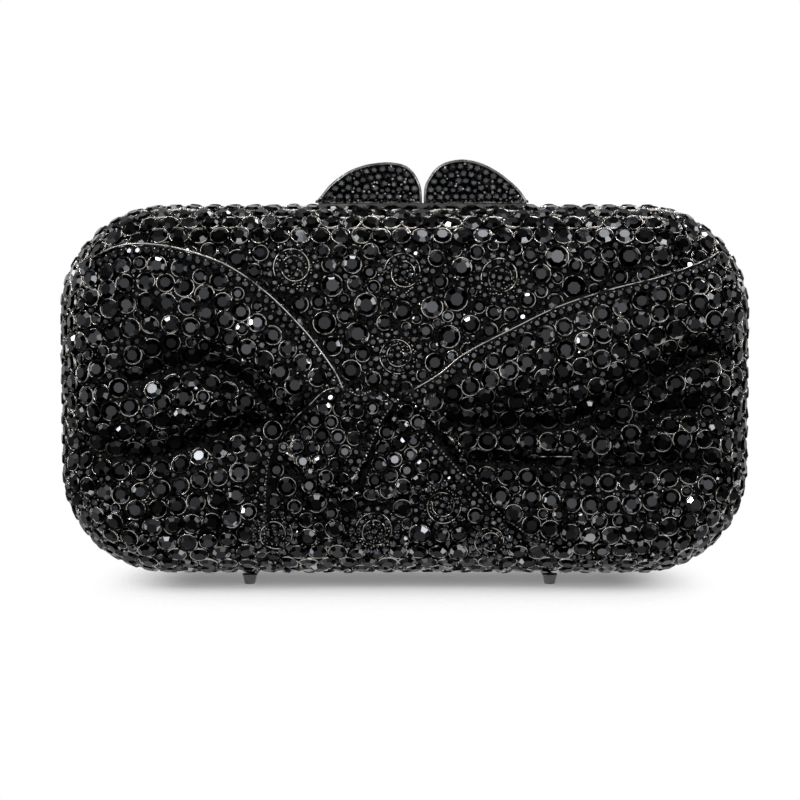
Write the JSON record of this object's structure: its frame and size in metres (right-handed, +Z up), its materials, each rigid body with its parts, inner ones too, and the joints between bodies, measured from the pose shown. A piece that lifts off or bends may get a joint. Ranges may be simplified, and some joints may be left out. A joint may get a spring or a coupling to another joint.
{
  "type": "clutch bag",
  "caption": "Hard evening clutch in two stone-set halves hinged along the bottom, with a bow in relief, a two-petal clasp and small feet.",
  "frame": {"origin": "on the ground under the middle of the case's box", "axes": "+X to the right along the case's length, +Y from the front half to the back half, +Z up"},
  "size_m": [0.18, 0.0554, 0.111],
  "materials": {
    "stones": "black cut glass stones in dark metal cups",
    "gunmetal": "polished gunmetal plating",
    "bright_wire": "drawn wire, gunmetal plating worn bright",
    "steel": "plain steel",
    "lining": "soft black lining"
  },
  "bodies": {
    "back_half": {"back_shell": "stones", "back_frame": "gunmetal", "back_lining": "lining", "back_hinge_leaf": "gunmetal", "hinge_pin": "steel", "back_foot_left": "gunmetal", "back_foot_right": "gunmetal", "right_clasp_bracket": "steel", "right_clasp_pin": "steel", "right_clasp_spring": "steel"},
    "front_half": {"front_shell": "stones", "front_frame": "gunmetal", "front_lining": "lining", "front_hinge_leaf": "gunmetal", "front_foot_left": "gunmetal", "front_foot_right": "gunmetal", "left_wing_wire": "bright_wire", "right_wing_wire": "bright_wire", "rosette_1": "stones", "rosette_2": "stones", "rosette_3": "stones", "rosette_4": "stones", "rosette_5": "stones", "rosette_6": "stones", "rosette_7": "stones", "rosette_8": "stones", "left_clasp_bracket": "steel", "left_clasp_pin": "steel", "left_clasp_spring": "steel"},
    "left_clasp": {"left_petal": "gunmetal"},
    "right_clasp": {"right_petal": "gunmetal"}
  },
  "joints": [
    {"name": "case_hinge", "type": "hinge", "parent": "back_half", "child": "front_half", "pos_m": [0, 0, 0.0035], "axis": [1, 0, 0], "range_deg": [0, 90]},
    {"name": "left_petal_tilt", "type": "hinge", "parent": "front_half", "child": "left_clasp", "pos_m": [-0.01519, 0, 0.092], "axis": [0, -1, 0], "range_deg": [0, 6], "stiffness_Nm_per_rad": 0.15},
    {"name": "right_petal_tilt", "type": "hinge", "parent": "back_half", "child": "right_clasp", "pos_m": [0.02469, 0, 0.092], "axis": [0, 1, 0], "range_deg": [0, 6], "stiffness_Nm_per_rad": 0.15}
  ]
}
